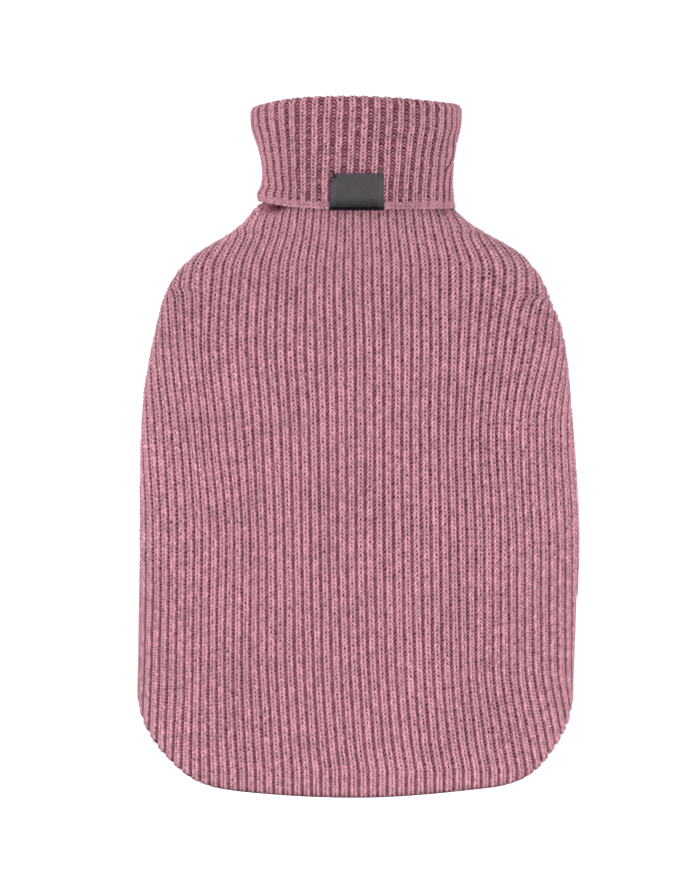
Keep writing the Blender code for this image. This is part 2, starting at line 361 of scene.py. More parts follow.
def gather_ends(points, inside, seam_point):
    """Brings each row's corners that lie past the seam together there, at the row's own height."""
    columns, rows = inside.shape
    middle = columns // 2
    for j in range(rows):
        for end in (-1, 1):
            i = middle
            while 0 <= i < columns and inside[i, j]:
                i += end
            if 0 <= i < columns:
                past = slice(i, None) if end > 0 else slice(0, i + 1)
                points[past, j] = seam_point(i - end, j, end)
    return points


def grid_cells(points, first):
    """Faces of a grid of points, without those that have no width.

    Returns them as numbers of merged points and as places in the grid, then the merged points, and the
    place in the grid that each comes from."""
    columns, rows = points.shape[:2]
    spots = points.reshape(-1, 3)
    rounded = np.round(spots * GRAIN).astype(np.int64)
    _, source, same = np.unique(rounded, axis=0, return_index=True, return_inverse=True)
    same = same.reshape(-1)
    grid = np.arange(columns * rows).reshape(columns, rows)
    cells = np.stack([grid[:-1, :-1], grid[1:, :-1], grid[1:, 1:], grid[:-1, 1:]], axis=-1).reshape(-1, 4)
    repeated = same[cells] == np.roll(same[cells], -1, axis=1)
    count = repeated.sum(axis=1)
    fours = cells[count == 0]
    threes = cells[count == 1][~repeated[count == 1]].reshape(-1, 3)
    faces = (same[fours] + first).tolist() + (same[threes] + first).tolist()
    return [tuple(f) for f in faces], fours.tolist() + threes.tolist(), spots[source], source


def rim_loop(faces):
    """The corners round the edge of a patch, in order."""
    sides = {side for face in faces for side in zip(face, face[1:] + face[:1])}
    onward = {a: b for a, b in sides if (b, a) not in sides}
    loop = [min(onward)]
    while onward[loop[-1]] != loop[0] and len(loop) <= len(onward):
        loop.append(onward[loop[-1]])
    if len(loop) != len(onward):
        raise RuntimeError(f"the edge of the cloth has {len(onward)} corners, and one loop of {len(loop)}")
    return loop


def zip_rims(near, far, spots):
    """Three-sided faces between two loops that run the same way, taking the shorter step each time.

    Returns them with their corners' places in a flat strip, 1 long and 1 wide."""
    start = int(np.argmin(np.linalg.norm(spots[far] - spots[near[0]], axis=1)))
    far = far[start:] + far[:start]
    near, far = near + near[:1], far + far[:1]
    near_along, far_along = np.linspace(0, 1, len(near)), np.linspace(0, 1, len(far))
    i = j = 0
    faces, strip = [], []
    while i < len(near) - 1 or j < len(far) - 1:
        can_near, can_far = i < len(near) - 1, j < len(far) - 1
        step_near = np.linalg.norm(spots[near[i + 1]] - spots[far[j]]) if can_near else np.inf
        step_far = np.linalg.norm(spots[far[j + 1]] - spots[near[i]]) if can_far else np.inf
        if step_near <= step_far:
            faces.append((near[i + 1], near[i], far[j]))
            strip += [(near_along[i + 1], 0), (near_along[i], 0), (far_along[j], 1)]
            i += 1
        else:
            faces.append((near[i], far[j], far[j + 1]))
            strip += [(near_along[i], 0), (far_along[j], 1), (far_along[j + 1], 1)]
            j += 1
    return faces, strip


# Where the seen face, the plain one and the rim lie in the map for baking: left, bottom, width, height.
BAKE_AREAS = ((0.005, 0.24, 0.99, 0.755), (0.005, 0.04, 0.99, 0.185), (0.005, 0.01, 0.99, 0.015))


def knitted_shell(name, outer, inner, material):
    """A closed piece of cloth from its seen face and its plain one.

    Each face is (points, marks): a grid over the ribs and rows, and for each corner its rib and stitch
    coordinates, how strong the ribbing is there, how deep in the creases it lies, which is also how much
    painted shade it has there and in the hollows under the hem, and how far the ribs are pulled apart."""
    spots, marks, maps, faces, loops, places, sources = [], [], [], [], [], [], []
    first = grid_first = 0
    for flipped, (points, face_marks) in enumerate((outer, inner)):
        cells, grid_places, found, source = grid_cells(points, first)
        turn = -1 if flipped else 1
        loops.append(rim_loop(cells))
        faces += [cell[::turn] for cell in cells]
        places += [grid_first + place for cell in grid_places for place in cell[::turn]]
        spots.append(found)
        sources.append(source + grid_first)
        flat = face_marks.reshape(-1, face_marks.shape[-1])
        marks.append(flat)
        left, bottom, width, height = BAKE_AREAS[flipped]
        share = (flat[:, :2] - flat[:, :2].min(axis=0)) / np.ptp(flat[:, :2], axis=0)
        maps.append(share * (width, height) + (left, bottom))
        first += len(found)
        grid_first += len(flat)
    spots, marks, maps, sources = np.vstack(spots), np.vstack(marks), np.vstack(maps), np.concatenate(sources)
    rim, strip = zip_rims(loops[0], loops[1], spots)
    faces += rim
    places = np.array(places + [sources[corner] for face in rim for corner in face])
    left, bottom, width, height = BAKE_AREAS[2]
    rim_map = np.array(strip) * (width, height) + (left, bottom)
    bake = np.vstack([maps[places[: -len(strip)]], rim_map])
    data = bpy.data.meshes.new(name)
    data.from_pydata(spots.tolist(), [], faces)
    for map_name, flat_places in (("stitches", marks[places, :2]), ("OFBake", bake)):
        layer = data.uv_layers.new(name=map_name)
        layer.data.foreach_set("uv", flat_places.astype(np.float32).ravel())
    for attribute, column in (("ribbing", 2), ("crease_shade", 3), ("stretch", 4)):
        layer = data.attributes.new(attribute, "FLOAT", "POINT")
        layer.data.foreach_set("value", marks[sources, column].astype(np.float32))
    mesh = bmesh.new()
    mesh.from_mesh(data)
    return finished(name, mesh, data, material)


def finished(name, mesh, data, material):
    """Turns a piece's faces outward, and puts it in the scene as a smooth object."""
    bmesh.ops.recalc_face_normals(mesh, faces=mesh.faces)
    mesh.to_mesh(data)
    mesh.free()
    data.shade_smooth()
    data.materials.append(material)
    obj = bpy.data.objects.new(name, data)
    bpy.context.scene.collection.objects.link(obj)
    return obj


# ---------------------------------------------------------------- the body

# Columns of the body's grid, in ribs from a rib's middle.
BODY_COLUMNS = (-0.35, -0.20, 0.0, 0.20, 0.35, 0.5)
# The body's relief: ribs from a rib's middle, the cloth's mean height there and how far that swings within
# a stitch, both in mm, and how many rows the stitch's legs have dropped.
BODY_PROFILE = (
    (0.00, -0.50, 0.25, 0.00),
    (0.20, 0.00, 0.20, 0.60),
    (0.35, -0.75, 0.20, 1.05),
    (0.50, -1.35, 0.25, 1.25),
)
LOW_HEIGHT, LOW_ROWS, HIGH_ROWS = -0.060, 61, 90  # rows below and above this height
BODY_ROWS = LOW_ROWS + HIGH_ROWS
NECK_ROWS = 14  # rows that take up what the neck's narrowing adds to a rib's length
STRAIGHT_ROWS = 3  # the first and last rows, which run straight
LINE_SPAN, LINE_COUNT = (-0.170, 0.125), 296  # a rib's line is worked out here, at so many heights
PATH_COUNT, EDGE_COUNT = 260, 48  # places along a rib, and round its lower end, where its length is measured
BOTTOM_GUESS, BOTTOM_ROUNDS = -0.150, 8  # where the search for a rib's lower end starts, and its rounds
LINE_WANDER = 0.00022  # how far a rib's line strays sideways
ROW_SLIP = 0.5  # by how many rows a stretch of a rib slips along it
STITCH_UNEVEN, BODY_PATCHY = 0.05, 0.10  # in mm: of single stitches, and of whole patches
FRONT_SWELL = 0.00025  # the most that the front's relief stands out past its outline
BACKING_HALF = 0.25  # the plain face stands out this far on each side of a rib's middle, in ribs
BODY_BACKING = 0.6  # and by this many mm
PLAIN_BODY_MARKS = 0.7  # how strong the ribs' marks are on the plain face
PLAIN_ROW_FINE, PLAIN_ROW_STEP = 16, 3  # the plain face has all of so many rows, and then each third
BODY_STRETCH = 0.6  # how far the ribs draw together at the neck
BODY_STRETCH_SPAN = (0.050, 0.112)  # between these heights
SEAM_SINK = 0.0009  # how deep the linked edge lies in the relief
SEAM_FADE = 0.0013  # how far from the linked edge the relief reaches its full depth
SEAM_PLAIN = 0.0045  # how far from the linked edge the ribs' marks reach their full strength
BODY_SEAM_MARKS = 0.2  # how strong they are at the edge itself


def profile(table, across, *columns):
    """Columns of a rib's profile, at places across the rib from its middle."""
    table = np.array(table)
    return [np.interp(np.abs(across), table[:, 0], table[:, column]) for column in columns]


def body_lines(ribs, heights):
    """Across each height, where every rib coordinate lies and how far from the seam it is on the cloth."""
    x = np.zeros((len(ribs), len(heights)))
    from_seam = np.zeros_like(x)
    for m, height in enumerate(heights):
        at = np.array([max(height, BOTTOM_EDGE[0][1])])
        reaches = [eased(PANEL_OUTLINE, column, at)[0] for column in (1, 2)]
        seam, crown, squareness = (eased(DEPTH, column, at)[0] for column in (1, 2, 4))
        x[:, m], from_seam[:, m] = rib_places(
            ribs, BODY_KNOTS, BODY_RIBS, BODY_END_PITCH, height, reaches, crown - seam, squareness
        )
    return x, from_seam


def bottom_of(x_line, heights):
    """The height at which a rib's line meets the bottom edge."""
    height = BOTTOM_GUESS
    for _ in range(BOTTOM_ROUNDS):
        across = np.interp(height, heights, x_line)
        reach = eased(PANEL_OUTLINE, 1 if across < 0 else 2, np.array([height]))[0]
        height = bottom_at(np.clip(across / reach, -1, 1))
    return float(height)


def body_places(ribs, across, rows, inward, side, random):
    """Where each rib's rows lie: across, the height, and how far from the panel's edges on the cloth."""
    heights = np.linspace(*LINE_SPAN, LINE_COUNT)
    lines, seam_lines = body_lines(ribs, heights)
    if not inward:
        lines = lines + wander(lines.shape, (10, 24), random) * LINE_WANDER
    (drop,) = profile(BODY_PROFILE, across, 3)
    straight = np.clip(np.minimum(rows, BODY_ROWS - rows) / STRAIGHT_ROWS, 0, 1)
    x, y, from_edge, slip = np.zeros((4, len(ribs), len(rows)))
    if not inward:
        slip = wander(slip.shape, (6, 30), random) * ROW_SLIP
    turn = np.linspace(0, np.pi / 2, EDGE_COUNT)
    for i in range(len(ribs)):
        low = bottom_of(lines[i], heights) + inward
        curve = low + (EDGE_ROUND - inward) * (1 - np.cos(turn))
        path_y = np.concatenate([curve, np.linspace(curve[-1], LINE_SPAN[1], PATH_COUNT)[1:]])
        path_x = np.interp(path_y, heights, lines[i])
        reach = reach_at(PANEL_OUTLINE, path_x, path_y)
        path = on_cloth(PANEL_OUTLINE, np.clip(path_x / reach, -1, 1), path_y, -inward, side)
        length = np.concatenate([[0], np.cumsum(np.linalg.norm(np.diff(path, axis=0), axis=1))])
        to_low, to_top = np.interp((LOW_HEIGHT, BODY_TOP), path_y, length)
        row = rows + (slip[i] - drop[i]) * straight
        at = np.where(row < LOW_ROWS, row / LOW_ROWS * to_low, to_low + (row - LOW_ROWS) * ROW).clip(0)
        if abs(path_x[-1]) < reach[-1]:
            at += (to_top - to_low - HIGH_ROWS * ROW) * smooth_step(row, BODY_ROWS - NECK_ROWS, BODY_ROWS)
        y[i] = np.interp(at, length, path_y)
        x[i] = np.interp(y[i], heights, lines[i])
        from_edge[i] = np.minimum(at, np.interp(y[i], heights, seam_lines[i]))
    return x, y, from_edge


def body_face(ribs, across, rows, inward, side, random, rib_depth):
    """One face of a body panel: the outer one, or the plain one inward of it."""
    x, y, from_edge = body_places(ribs, across, rows, inward, side, random)
    fade = smooth_step(from_edge, 0.0, SEAM_FADE)
    if inward:
        relief = np.where(np.abs(across) > BACKING_HALF, 0.0, BODY_BACKING)[:, None]
        outward = relief * MM * fade - inward
    else:
        mean, swing = profile(BODY_PROFILE, across, 1, 2)
        uneven = wander(y.shape, (3, 2), random) * STITCH_UNEVEN
        uneven = uneven + wander(y.shape, (60, 50), random) * BODY_PATCHY
        relief = mean[:, None] + swing[:, None] * np.cos(2 * np.pi * rows)[None, :] + uneven
        relief = relief * rib_depth
        outward = relief * MM * fade - SEAM_SINK * (1 - fade)
        outward = np.minimum(outward, FRONT_SWELL if side == FRONT else 0)
    reach = reach_at(PANEL_OUTLINE, x, y)
    # Under the hem's ends the cloth dips into hollows, which get painted shadow of the hem.
    hollow_shadow = 0 * x
    for deep, darker, middle, wide, height, tall in HOLLOWS if side == FRONT else ():
        here = np.exp(-(((x / reach - middle) / wide) ** 2) - ((y - height) / tall) ** 2)
        outward = outward - deep * here
        hollow_shadow = hollow_shadow + darker * here
    inside = np.abs(x) < reach * AT_SEAM
    points = on_cloth(PANEL_OUTLINE, np.clip(x / reach, -1, 1), y, outward, side)

    def seam_point(i, j, end):
        height = y[i, j : j + 1]
        edge = eased(PANEL_OUTLINE, 1 if end < 0 else 2, height)[0] - (inward or SEAM_SINK)
        return end * edge, height[0], eased(DEPTH, 1, height)[0] + side * SEAM_GAP / 2

    points = gather_ends(points, inside, seam_point)
    ribbing = np.full_like(y, PLAIN_BODY_MARKS)
    if not inward:
        ribbing = from_least(BODY_SEAM_MARKS, smooth_step(from_edge, 0.0, SEAM_PLAIN))
    stretch = 1 - BODY_STRETCH * smooth_step(y, *BODY_STRETCH_SPAN)
    rib_grid, row_grid = np.broadcast_arrays(ribs[:, None], rows[None, :])
    marks = np.stack([rib_grid, row_grid, ribbing, hollow_shadow, stretch], axis=-1)
    return points, marks


def body_panel(name, side, rib_depth, material):
    """One panel from its bottom edge up to where it goes under the collar."""
    random = np.random.default_rng(BODY_SEED + (side == BACK))
    middles = np.arange(-BODY_HALF, BODY_HALF) + 0.5
    across = np.tile(BODY_COLUMNS, len(middles))
    ribs = np.repeat(middles, len(BODY_COLUMNS)) + across
    rows = np.linspace(0, BODY_ROWS, BODY_ROWS * BODY_FINE + 1)
    outer = body_face(ribs, across, rows, 0.0, side, random, rib_depth)
    across = np.tile((0.0, 0.5), len(middles))
    ribs = np.repeat(middles, 2) + across
    coarse = np.arange(PLAIN_ROW_FINE, BODY_ROWS + 1, PLAIN_ROW_STEP)
    rows = np.concatenate([np.arange(PLAIN_ROW_FINE), coarse])
    inner = body_face(ribs, across, rows, CLOTH, side, random, rib_depth)
    return knitted_shell(name, outer, inner, material)


# ---------------------------------------------------------------- the collar

# The collar's relief: ribs from a rib's middle, the cloth's mean height there and how far that swings within
# a stitch, both in mm, and how many rows the stitches' lines have risen.
COLLAR_PROFILE = (
    (0.000, -0.55, 0.18, 0.00),
    (0.055, -0.30, 0.08, 0.15),
    (0.105, -0.06, 0.07, 0.28),
    (0.155, 0.00, 0.08, 0.42),
    (0.205, -0.10, 0.08, 0.55),
    (0.260, -0.40, 0.10, 0.68),
    (0.320, -0.75, 0.14, 0.82),
    (0.405, -1.00, 0.24, 1.12),
    (0.500, -1.00, 0.30, 1.40),
)
COLLAR_COLUMNS = tuple(-a for a, *_ in COLLAR_PROFILE[-2:0:-1]) + tuple(a for a, *_ in COLLAR_PROFILE)
COLLAR_ROWS = FACE_STITCHES + FOLD_STITCHES + NECK_STITCHES
COLLAR_LINES_TOP, COLLAR_LINES = 0.166, 40  # the ribs' lines are worked out up to here, at so many heights
SLANT_ROWS = 1.2  # over how many rows from each end the stitches' lines come to their full slant
COLLAR_PATCHY = 0.12  # in mm: the unevenness of whole patches
COLLAR_SWELL = 0.0002  # the most that the relief stands out past the outline
COLLAR_BACKING = 0.4  # how many mm the plain face stands out behind each rib
PLAIN_COLLAR_MARKS = 0.6  # how strong the ribs' marks are on the plain face
COLLAR_SEAM_MARKS = 0.3  # how strong the ribs' marks are at the linked edge
COLLAR_STRETCH_SPAN = (0.40, 0.92)  # where the ribs draw together, in shares of the way to the seam
HEM_ROUND, ROUND_SHARE = 0.0014, 0.85  # how far up the hem's edge is rounded, and how far in
HEM_BAND = (0.0018, 0.0044)  # between these distances from the hem the grooves come to their full depth
HEM_MEAN, HEM_MARKS = 0.45, 0.22  # how deep and how strongly marked they are at the hem itself
HEM_UNEVEN = 0.0009  # how far up or down a groove's end may lie
HEM_SCALLOP = 0.0003  # how far the ends of the strands stand below the hem's notches
SCALLOP_ROWS = 2.5  # over how many rows that fades out
FOLD_FLATTER, FOLD_WIDE = 0.35, 2.5  # how much flatter the ribs are round the fold, and over how many rows
# Rows of the grid at the hem's round edge, on the seen face and on the plain one.
HEM_GRID, PLAIN_HEM_GRID = (0, 0.12, 0.25, 0.4, 0.6, 0.8), (0, 0.2, 0.5, 1)
FOLD_FINE = 6  # rows of the grid in a stitch round the fold
TUCK_AT, TUCK_SPAN = -0.013, (0.22, 0.27)  # where the label draws the hem up, in shares of the width
CREASE_RIB, CREASE_SPAN = 9.5, (0.50, 0.66)  # the rib that is lost in the crease, and how wide that is
CREASE_DEEP = 0.0012  # how far the lost rib lies under the face
CREASE_FADE = (0.1325, 0.1360)  # where it opens out, and the lost rib comes up
# The grooves that run on from the crease: which, how dark their painted shade is, and between what heights
# they begin and end.
TIGHT_GROOVES = ((10, 1.10, 0.1325, 0.1355, 0.1490, 0.1570), (11, 1.05, 0.1150, 0.1180, 0.1290, 0.1340))
TIGHT_WIDE = (0.10, 0.34)  # how far from such a groove's line it is dark, in ribs


def collar_place(s, station, depth, side):
    """Points of the collar's cloth, at a depth under its seen face.

    station counts stitches from the hem up to the fold, round it, and down the inside of the neck."""
    fold_line = FOLD_HEIGHT - drawn(s, TOP_DROP)
    hem_line = HEM_LOW + drawn(s, HEM_RISE)
    if side == FRONT:
        hem_line = hem_line + HEM_TUCK * (1 - smooth_step(np.abs(s - TUCK_AT), *TUCK_SPAN))
    up = np.clip(station / FACE_STITCHES, 0, 1)
    turn = np.clip((station - FACE_STITCHES) / FOLD_STITCHES, 0, 1) * np.pi
    down = np.clip((station - FACE_STITCHES - FOLD_STITCHES) / NECK_STITCHES, 0, 1)
    radius = LAYER_GAP / 2 + CLOTH - depth
    height = hem_line + (fold_line - hem_line) * up + radius * np.sin(turn) + (NECK_END - fold_line) * down
    outward = LAYER_GAP / 2 + radius * np.cos(turn)
    face = on_collar(s, height, outward, side)
    neck = on_cloth(PANEL_OUTLINE, s, height, outward, side)
    return np.where((down > 0)[..., None], neck, face)


def collar_lines(ribs, heights):
    """Across each height, where every rib lies as a share of the reach, and how far from the seam it is."""
    places = np.zeros((len(ribs), len(heights)))
    from_seam = np.zeros_like(places)
    for m, height in enumerate(heights):
        at = np.array([height])
        reaches = [eased(UNDER_COLLAR, column, at)[0] + TURNED for column in (1, 2)]
        seam, crown, squareness = (eased(DEPTH, column, at)[0] for column in (1, 2, 4))
        rise = crown - seam + TURNED
        x, from_seam[:, m] = rib_places(
            ribs, COLLAR_KNOTS, COLLAR_RIBS, COLLAR_END_PITCH, height, reaches, rise, squareness
        )
        places[:, m] = x / np.where(x < 0, *reaches)
    return places, from_seam


def collar_face(ribs, across, rows, plain, side, random, rib_depth):
    """The collar's seen face, or the plain one on the other side of the cloth."""
    heights = np.linspace(HEM_LOW, COLLAR_LINES_TOP, COLLAR_LINES)
    places, from_seam = collar_lines(ribs, heights)
    mean, swing, rise = profile(COLLAR_PROFILE, across, 1, 2, 3)
    slant = np.clip(np.minimum(rows, COLLAR_ROWS - rows) / SLANT_ROWS, 0, 1)
    station = rows[None, :] + rise[:, None] * slant[None, :]
    up = np.clip(station / FACE_STITCHES, 0, 1)
    height = HEM_LOW + FACE_LENGTH * up
    column = np.clip((height - heights[0]) / (heights[1] - heights[0]), 0, len(heights) - 1.001)
    low = column.astype(int)
    t = column - low
    line = np.arange(len(ribs))[:, None]
    s = places[line, low] * (1 - t) + places[line, low + 1] * t
    edge = from_seam[line, low] * (1 - t) + from_seam[line, low + 1] * t
    inside = np.abs(s) < AT_SEAM
    s = s.clip(-1, 1)
    from_hem = station * (FACE_LENGTH / FACE_STITCHES)
    rounded = CLOTH / 2 * ROUND_SHARE * (1 - np.sqrt(1 - np.clip(1 - from_hem / HEM_ROUND, 0, 1) ** 2))
    crease_shade = 0 * station
    if plain:
        backing = np.where(np.abs(across) > BACKING_HALF, 0.0, COLLAR_BACKING)[:, None]
        depth = CLOTH - backing * MM - rounded
    else:
        uneven = wander(station.shape, (8, 5), random) * STITCH_UNEVEN
        uneven = uneven + wander(station.shape, (90, 60), random) * COLLAR_PATCHY
        in_ribs = smooth_step(from_hem + wander(station.shape, (14, 60), random) * HEM_UNEVEN, *HEM_BAND)
        relief = mean[:, None] * from_least(HEM_MEAN, in_ribs)
        relief = relief + swing[:, None] * np.cos(2 * np.pi * rows)[None, :]
        from_fold = station - FACE_STITCHES - FOLD_STITCHES / 2
        flatter = FOLD_FLATTER * np.exp(-((from_fold / FOLD_WIDE) ** 2))
        relief = (relief + uneven) * rib_depth * (1 - flatter)
        fade = smooth_step(edge, 0, SEAM_FADE)
        depth = -MM * relief * fade + SEAM_SINK * (1 - fade) + rounded
        if side == FRONT:
            # The lost rib sinks in the crease; the crease and the tight grooves also get painted shade.
            closed = in_ribs * (1 - smooth_step(height, *CREASE_FADE)) * (station < FACE_STITCHES)
            crease_shade = closed * (1 - smooth_step(np.abs(ribs - CREASE_RIB), *CREASE_SPAN))[:, None]
            depth = depth + (CREASE_DEEP - depth).clip(0) * crease_shade
            for groove, painted_shade, begins, full, thins, ends in TIGHT_GROOVES:
                near = 1 - smooth_step(np.abs(ribs - groove), *TIGHT_WIDE)
                along = smooth_step(height, begins, full) * (1 - smooth_step(height, thins, ends))
                crease_shade = np.maximum(crease_shade, painted_shade * near[:, None] * along * (station < FACE_STITCHES))
        depth = np.maximum(depth, -COLLAR_SWELL)
    points = collar_place(s, station, depth, side)
    scallop = HEM_SCALLOP * np.cos(4 * np.pi * ribs)[:, None]
    points[..., 1] += scallop * (1 - smooth_step(station, 0, SCALLOP_ROWS))

    def seam_point(i, j, end):
        sunk = depth[i, j] if plain else SEAM_SINK + rounded[i, j]
        return collar_place(np.array([float(end)]), station[i, j : j + 1], np.array([sunk]), side)[0]

    points = gather_ends(points, inside, seam_point)
    ribbing = np.full_like(station, PLAIN_COLLAR_MARKS)
    if not plain:
        at_edge = from_least(COLLAR_SEAM_MARKS, smooth_step(edge, 0.0, SEAM_PLAIN))
        ribbing = from_least(HEM_MARKS, in_ribs) * at_edge
    stretch = 1 - smooth_step(np.abs(s), *COLLAR_STRETCH_SPAN)
    rib_grid, row_grid = np.broadcast_arrays(ribs[:, None], rows[None, :])
    marks = np.stack([rib_grid, row_grid, ribbing, crease_shade, stretch], axis=-1)
    return points, marks


def collar_panel(name, side, fine, rib_depth, material):
    """One side of the collar, with fine rows of the grid in a stitch of its face."""
    random = np.random.default_rng(COLLAR_SEED + (side == BACK))
    middles = np.arange(-COLLAR_HALF, COLLAR_HALF) + 0.5
    across = np.tile(COLLAR_COLUMNS, len(middles))
    ribs = np.repeat(middles, len(COLLAR_COLUMNS)) + across
    fold_end = FACE_STITCHES + FOLD_STITCHES
    rows = np.concatenate(
        [
            HEM_GRID,
            np.arange(1, FACE_STITCHES, 1 / fine),
            np.arange(FACE_STITCHES, fold_end + 2, 1 / FOLD_FINE),
            np.arange(fold_end + 2, COLLAR_ROWS + 1),
        ]
    )
    outer = collar_face(ribs, across, rows, False, side, random, rib_depth)
    across = np.tile((0.0, 0.5), len(middles))
    ribs = np.repeat(middles, 2) + across
    rows = np.concatenate(
        [
            PLAIN_HEM_GRID,
            np.arange(2, FACE_STITCHES - 1, 2),
            np.arange(FACE_STITCHES - 1, fold_end + 1, 0.5),
            np.arange(fold_end + 1, COLLAR_ROWS + 1, 3),
        ]
    )
    inner = collar_face(ribs, across, rows, True, side, random, rib_depth)
    return knitted_shell(name, outer, inner, material)


# ---------------------------------------------------------------- the label

LABEL_HEM = HEM_LOW + HEM_TUCK - LABEL_GAP  # where the tape starts to turn under the hem
LABEL_FACE = LABEL_TOP - LABEL_HEM  # from its top edge to there
LABEL_BEHIND, LABEL_BEFORE = LAYER_GAP - LABEL_GAP, TURNED + LABEL_GAP  # how far out its two layers lie
LABEL_BEND = (LABEL_BEFORE - LABEL_BEHIND) / 2
LABEL_SQUEEZE = 0.45  # the loop under the hem is flatter than a half circle
LABEL_LOOP = 0.0068  # the tape's length round the hem
LABEL_LONG = 2 * LABEL_FACE + LABEL_LOOP
EDGE_SOFT = 0.0005  # how far in the tape's edges are rounded
PULL_DEEP, PULL_DOWN, PULL_WIDE, PULL_TALL = 0.00030, 0.001, 0.5, 0.007  # the dip that each tack pulls
SWELL_HIGH, SWELL_DOWN, SWELL_WIDE, SWELL_TALL = 0.00025, 0.006, 0.5, 0.006  # the swell between them

# The tape's mesh: places across it, round each end, down its face, round the hem and up behind.
TAPE_ACROSS, TAPE_END, TAPE_DOWN, TAPE_ROUND, TAPE_BEHIND = 49, 5, 36, 25, 12
WELD = 1e-6  # the tape's two faces are joined where they are nearer than this

# The threads that tack the label's upper corners, from the knit into the tape. Each runs through four
# places: across, height, and how far the thread's middle stands over the label's face.
THREAD, THREAD_SIDES, THREAD_STEPS = 0.00028, 10, 8  # a thread's radius, sides, and steps between places
THREAD_TAPER = 0.9  # how much thinner its ends are, by area
TACKS = (
    (
        (-0.0124, 0.1315, -0.0016),
        (-0.0117, 0.1303, 0.0003),
        (-0.0111, 0.1293, 0.0004),
        (-0.0103, 0.1281, -0.0005),
    ),
    (
        (-0.0117, 0.1312, -0.0016),
        (-0.0115, 0.1300, 0.0004),
        (-0.0113, 0.1291, 0.0004),
        (-0.0114, 0.1280, -0.0005),
    ),
    (
        (0.0116, 0.1330, -0.0016),
        (0.0114, 0.1314, 0.0001),
        (0.0110, 0.1299, 0.0005),
        (0.0118, 0.1284, -0.0005),
    ),
    (
        (0.0118, 0.1322, -0.0016),
        (0.0112, 0.1306, 0.0005),
        (0.0106, 0.1288, 0.0004),
        (0.0113, 0.1270, -0.0005),
    ),
)


def over_hem(x, height, outward):
    """Points over the front collar at a real distance across, for what is sewn on there."""
    left, right = COLLAR_OUTLINE[0][1:]
    points = on_collar(x / np.where(x < 0, left, right), height, outward, FRONT)
    points[..., 0] = x
    return points


def tape_place(across, along, lift, tape_wide):
    """Points of the label's tape, folded round the hem, with along from its front end to its back end."""
    height = np.where(along < LABEL_FACE, LABEL_TOP - along, LABEL_HEM + along - LABEL_FACE - LABEL_LOOP)
    height = height - LABEL_ARCH * across**2 * (1 - along / LABEL_FACE).clip(0)
    turn = np.clip((along - LABEL_FACE) / LABEL_LOOP, 0, 1) * np.pi
    wide = LABEL_BEND + lift
    height = np.maximum(height, LABEL_HEM) - LABEL_SQUEEZE * wide * np.sin(turn)
    outward = (LABEL_BEHIND + LABEL_BEFORE) / 2 + wide * np.cos(turn)
    up = ((height - LABEL_HEM) / LABEL_FACE).clip(0)
    x = LABEL_X + LABEL_LEAN * up + across * (tape_wide - LABEL_TAPER * up) / 2
    return over_hem(x, height, outward)


def label_tape(name, tape_wide, tape_thick, material):
    """The woven tape: two faces that meet round its soft edges, puckered a little by its tacks."""
    across = np.sin(np.linspace(-np.pi / 2, np.pi / 2, TAPE_ACROSS))
    end = EDGE_SOFT * (1 - np.cos(np.linspace(0, np.pi / 2, TAPE_END)))[:-1]
    along = np.concatenate(
        [
            end,
            np.linspace(EDGE_SOFT, LABEL_FACE, TAPE_DOWN)[:-1],
            np.linspace(LABEL_FACE, LABEL_FACE + LABEL_LOOP, TAPE_ROUND),
            np.linspace(LABEL_FACE + LABEL_LOOP, LABEL_LONG - EDGE_SOFT, TAPE_BEHIND)[1:],
            LABEL_LONG - end[::-1],
        ]
    )
    u, v = np.meshgrid(across, along, indexing="ij")
    from_side = (1 - np.abs(u)) * tape_wide / 2
    from_end = np.minimum(v, LABEL_LONG - v)
    rounded = [np.sqrt(1 - (1 - np.clip(d / EDGE_SOFT, 0, 1)) ** 2) for d in (from_side, from_end)]
    half = tape_thick / 2 * rounded[0] * rounded[1]
    down = ((v - PULL_DOWN) / PULL_TALL) ** 2
    pull = sum(np.exp(-(((u - corner) / PULL_WIDE) ** 2) - down) for corner in (-1, 1))
    swell = np.exp(-((u / SWELL_WIDE) ** 2) - ((v - SWELL_DOWN) / SWELL_TALL) ** 2) * (v < LABEL_FACE)
    middle = tape_thick / 2 + SWELL_HIGH * swell - PULL_DEEP * pull
    mesh = bmesh.new()
    tape_uv = mesh.loops.layers.uv.new("tape")
    for lift, flipped in ((middle + half, False), (middle - half, True)):
        corners = [[mesh.verts.new(p) for p in line] for line in tape_place(u, v, lift, tape_wide).tolist()]
        for i in range(len(across) - 1):
            for j in range(len(along) - 1):
                ring = ((i, j), (i, j + 1), (i + 1, j + 1), (i + 1, j))[:: -1 if flipped else 1]
                face = mesh.faces.new([corners[a][b] for a, b in ring])
                for loop, (a, b) in zip(face.loops, ring):
                    loop[tape_uv].uv = (across[a] * tape_wide / 2 / MM, along[b] / MM)
    bmesh.ops.remove_doubles(mesh, verts=mesh.verts, dist=WELD)
    return finished(name, mesh, bpy.data.meshes.new(name), material)


